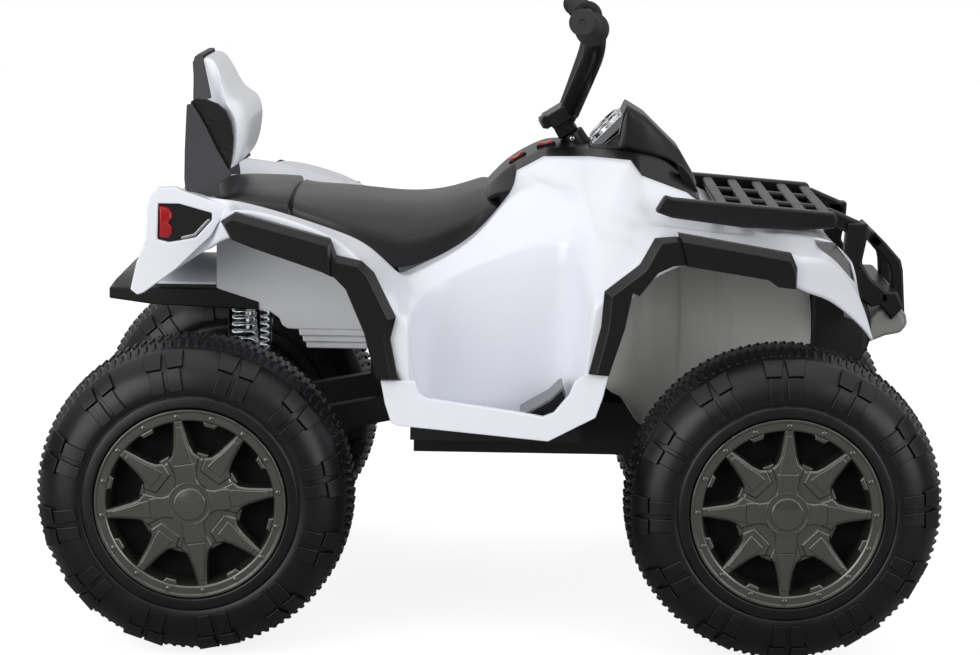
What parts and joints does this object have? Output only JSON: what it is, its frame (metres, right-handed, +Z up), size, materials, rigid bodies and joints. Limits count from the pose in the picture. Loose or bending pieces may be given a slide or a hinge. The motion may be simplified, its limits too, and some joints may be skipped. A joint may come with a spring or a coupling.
{
  "type": "kids quad bike",
  "caption": "Battery ride-on quad bike for a child: white moulded body on fat knobbly wheels, black saddle with backrest, steering handlebar, sprung rear axle.",
  "frame": {"origin": "on the ground, midway between the axles on the centre line", "axes": "+X forward, +Y to the rider's left, +Z up"},
  "size_m": [1.0288, 0.681, 0.7344],
  "materials": {
    "body_white": "glossy moulded white plastic",
    "trim_black": "satin moulded black plastic",
    "chassis_black": "coarse moulded black plastic",
    "seat_black": "satin moulded black plastic with a fine grain",
    "grip_black": "soft black grips",
    "tyre_black": "blow-moulded black plastic",
    "rim_grey": "dark grey metallic paint on plastic",
    "steel": "zinc-plated steel",
    "chrome": "bright plated",
    "sleeve_clear": "clear moulded sleeve",
    "lamp_lens": "smoked clear plastic",
    "tail_red": "red translucent plastic",
    "switch_red": "red rocker plastic",
    "button_grey": "soft-touch grey plastic",
    "battery_case": "black battery case"
  },
  "bodies": {
    "chassis": {"chassis_frame": "chassis_black", "pivot_rod": "steel", "kingpins": "steel", "body_shell": "body_white", "footboards": "body_white", "front_flares": "trim_black", "rear_flares": "trim_black", "front_arch_liners": "body_white", "power_box": "body_white", "battery": "battery_case", "control_box": "chassis_black", "seat": "seat_black", "backrest_pad": "body_white", "backrest_shell": "trim_black", "backrest_brackets": "trim_black", "dash_console": "trim_black", "dash_cowl": "trim_black", "gauge_bezel": "chrome", "gauge_dials": "trim_black", "front_rack": "trim_black", "front_bumper": "trim_black", "front_skid": "body_white", "headlight_lenses": "lamp_lens", "headlight_housings": "trim_black", "tail_lamp_cases": "trim_black", "tail_lamp_lenses": "tail_red", "rear_bumper": "trim_black", "shock_sleeves": "sleeve_clear", "shock_springs": "chrome", "pedal_base": "trim_black"},
    "steering": {"steering_column": "steel", "handlebar": "trim_black", "grips": "grip_black"},
    "knuckle_left": {"knuckle_left": "chassis_black", "front_nut_left": "steel"},
    "knuckle_right": {"knuckle_right": "chassis_black", "front_nut_right": "steel"},
    "tie_bar": {"tie_bar": "chassis_black"},
    "swing_arm": {"swing_arm": "chassis_black", "rear_axle": "steel", "rear_axle_nuts": "steel", "gearboxes": "chassis_black", "motors": "steel"},
    "accelerator_pedal": {"foot_pedal": "trim_black"},
    "power_switch": {"power_switch": "switch_red"},
    "direction_switch": {"direction_switch": "switch_red"},
    "horn_button": {"horn_button": "button_grey"},
    "music_button": {"music_button": "button_grey"},
    "wheel_front_left": {"tyre_front_left": "tyre_black", "rim_front_left": "rim_grey"},
    "wheel_front_right": {"tyre_front_right": "tyre_black", "rim_front_right": "rim_grey"},
    "wheel_rear_left": {"tyre_rear_left": "tyre_black", "rim_rear_left": "rim_grey"},
    "wheel_rear_right": {"tyre_rear_right": "tyre_black", "rim_rear_right": "rim_grey"}
  },
  "joints": [
    {"name": "handlebar_turn", "type": "hinge", "parent": "chassis", "child": "steering", "pos_m": [0.092, 0, 0.569], "axis": [-0.5299, 0, 0.848], "range_deg": [-22, 22]},
    {"name": "knuckle_left_turn", "type": "hinge", "parent": "chassis", "child": "knuckle_left", "pos_m": [0.3335, 0.162, 0.181], "axis": [0, 0, 1], "range_deg": [-20, 20]},
    {"name": "knuckle_right_turn", "type": "hinge", "parent": "chassis", "child": "knuckle_right", "pos_m": [0.3335, -0.162, 0.181], "axis": [0, 0, 1], "range_deg": [-20, 20]},
    {"name": "tie_bar_slide", "type": "slide", "parent": "chassis", "child": "tie_bar", "axis": [0, 1, 0], "range_m": [-0.014, 0.014]},
    {"name": "rear_suspension", "type": "hinge", "parent": "chassis", "child": "swing_arm", "pos_m": [-0.112, 0, 0.25], "axis": [0, 1, 0], "range_deg": [0, 4], "stiffness_Nm_per_rad": 300, "springref_deg": -5.73, "deforming": ["shock_springs"]},
    {"name": "accelerator_press", "type": "hinge", "parent": "chassis", "child": "accelerator_pedal", "pos_m": [0.038, -0.23, 0.2655], "axis": [0, 1, 0], "range_deg": [0, 8], "stiffness_Nm_per_rad": 3, "springref_deg": -5.73},
    {"name": "power_rocker", "type": "hinge", "parent": "chassis", "child": "power_switch", "pos_m": [0.026, -0.03, 0.54475], "axis": [0, 1, 0], "range_deg": [-6, 6]},
    {"name": "direction_rocker", "type": "hinge", "parent": "chassis", "child": "direction_switch", "pos_m": [0.06, -0.03, 0.56129], "axis": [0, 1, 0], "range_deg": [-6, 6]},
    {"name": "horn_press", "type": "slide", "parent": "steering", "child": "horn_button", "axis": [0.848, 0, 0.5299], "range_m": [0, 0.0025], "stiffness_N_per_m": 400, "springref_m": -0.002},
    {"name": "music_press", "type": "slide", "parent": "steering", "child": "music_button", "axis": [0.848, 0, 0.5299], "range_m": [0, 0.0025], "stiffness_N_per_m": 400, "springref_m": -0.002},
    {"name": "wheel_front_left_spin", "type": "hinge", "parent": "knuckle_left", "child": "wheel_front_left", "pos_m": [0.3335, 0.261, 0.181], "axis": [0, 1, 0], "continuous": true},
    {"name": "wheel_front_right_spin", "type": "hinge", "parent": "knuckle_right", "child": "wheel_front_right", "pos_m": [0.3335, -0.261, 0.181], "axis": [0, 1, 0], "continuous": true},
    {"name": "wheel_rear_left_spin", "type": "hinge", "parent": "swing_arm", "child": "wheel_rear_left", "pos_m": [-0.3335, 0.261, 0.181], "axis": [0, 1, 0], "continuous": true},
    {"name": "wheel_rear_right_spin", "type": "hinge", "parent": "swing_arm", "child": "wheel_rear_right", "pos_m": [-0.3335, -0.261, 0.181], "axis": [0, 1, 0], "continuous": true}
  ],
  "couplings": [
    {"joint": "knuckle_left_turn", "follows": "handlebar_turn", "ratio": 0.8513},
    {"joint": "knuckle_right_turn", "follows": "handlebar_turn", "ratio": 0.8513},
    {"joint": "tie_bar_slide", "follows": "handlebar_turn", "m_per_rad": -0.03512}
  ]
}
